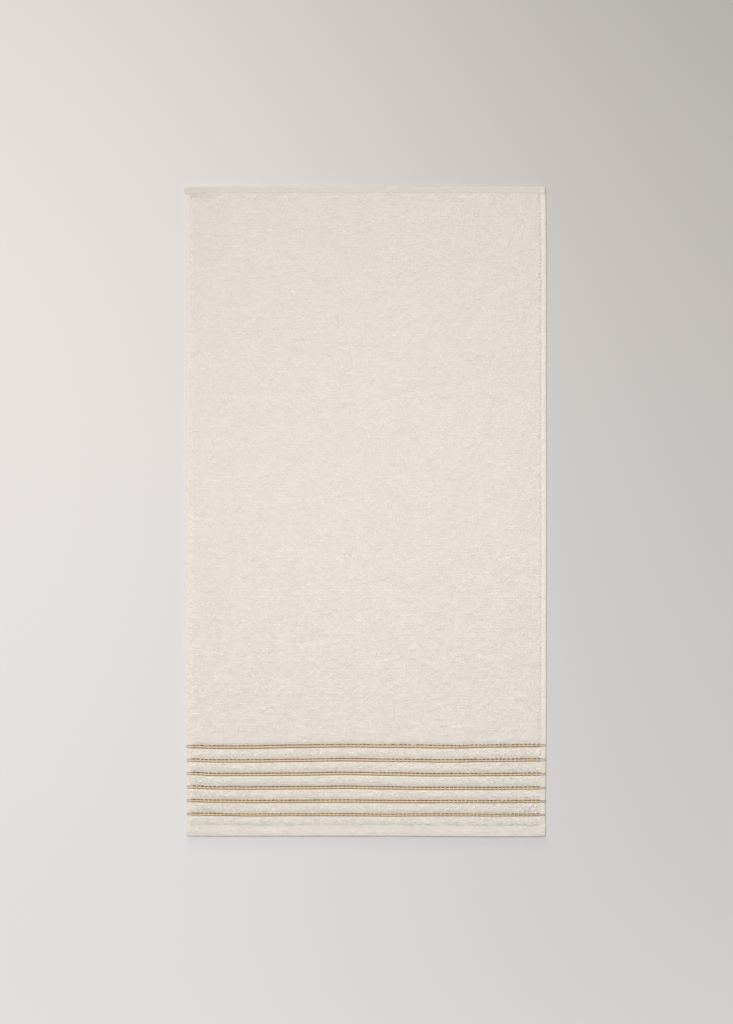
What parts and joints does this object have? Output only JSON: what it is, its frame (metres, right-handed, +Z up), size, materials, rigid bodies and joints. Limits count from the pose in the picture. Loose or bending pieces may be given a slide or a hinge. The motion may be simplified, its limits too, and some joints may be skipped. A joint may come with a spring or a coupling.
{
  "type": "hand towel",
  "caption": "Cream terry hand towel laid flat, with narrow ochre border stripes woven near one hemmed end.",
  "frame": {"origin": "middle of the bounding box's base, on the surface that the towel lies on", "axes": "+X across the width, +Y along the length away from the striped end, +Z up out of the cloth's face"},
  "size_m": [0.504, 0.9048, 0.0049],
  "materials": {
    "terry_cotton": "matte",
    "stripe_yarn": "matte",
    "sewing_thread": "satin"
  },
  "bodies": {
    "root": {"towel": "terry_cotton"}
  },
  "joints": []
}
